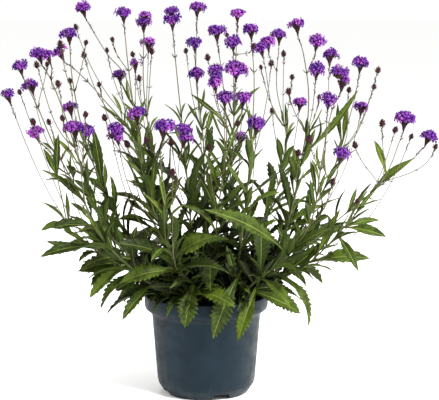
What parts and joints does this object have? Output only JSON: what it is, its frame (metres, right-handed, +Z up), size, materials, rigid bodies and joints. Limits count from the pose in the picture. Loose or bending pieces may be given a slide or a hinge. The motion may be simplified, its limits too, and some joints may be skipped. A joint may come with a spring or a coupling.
{
  "type": "potted verbena",
  "caption": "Bushy flowering verbena with wiry branched stems, toothed leaves and small domed violet flower heads, in a round tapered nursery pot.",
  "frame": {"origin": "middle of the pot's foot, on the surface that it stands on", "axes": "+Z up along the pot's axis, -Y towards the side that faces a viewer, +X to that viewer's right"},
  "size_m": [0.4549, 0.3211, 0.408],
  "materials": {
    "pot": "satin",
    "compost": "matte",
    "shoots": "matte",
    "florets": "matte"
  },
  "bodies": {
    "root": {"pot": "pot", "soil": "compost", "shoot_front": "shoots", "shoot_left_back": "shoots", "shoot_left_front": "shoots", "shoot_left_middle": "shoots", "shoot_middle": "shoots", "shoot_middle_back": "shoots", "shoot_middle_left": "shoots", "shoot_middle_right": "shoots", "shoot_right": "shoots", "shoot_right_back": "shoots", "shoot_right_front": "shoots", "bloom_front_1": "florets", "bloom_front_2": "florets", "bloom_left_back_1": "florets", "bloom_left_back_2": "florets", "bloom_left_back_3": "florets", "bloom_left_back_4": "florets", "bloom_left_front_1": "florets", "bloom_left_front_2": "florets", "bloom_left_middle_1": "florets", "bloom_left_middle_2": "florets", "bloom_left_middle_3": "florets", "bloom_left_middle_4": "florets", "bloom_middle_1": "florets", "bloom_middle_2": "florets", "bloom_middle_3": "florets", "bloom_middle_4": "florets", "bloom_middle_5": "florets", "bloom_middle_6": "florets", "bloom_middle_back_1": "florets", "bloom_middle_back_2": "florets", "bloom_middle_back_3": "florets", "bloom_middle_back_4": "florets", "bloom_middle_left_1": "florets", "bloom_middle_left_2": "florets", "bloom_middle_left_3": "florets", "bloom_middle_left_4": "florets", "bloom_middle_right_1": "florets", "bloom_middle_right_2": "florets", "bloom_middle_right_3": "florets", "bloom_middle_right_4": "florets", "bloom_middle_right_5": "florets", "bloom_middle_right_6": "florets", "bloom_middle_right_7": "florets", "bloom_right_1": "florets", "bloom_right_2": "florets", "bloom_right_3": "florets", "bloom_right_4": "florets", "bloom_right_back_1": "florets", "bloom_right_back_2": "florets", "bloom_right_back_3": "florets", "bloom_right_back_4": "florets", "bloom_right_back_5": "florets", "bloom_right_back_6": "florets", "bloom_right_front_1": "florets", "bloom_right_front_2": "florets", "bloom_right_front_3": "florets", "bloom_right_front_4": "florets"}
  },
  "joints": []
}
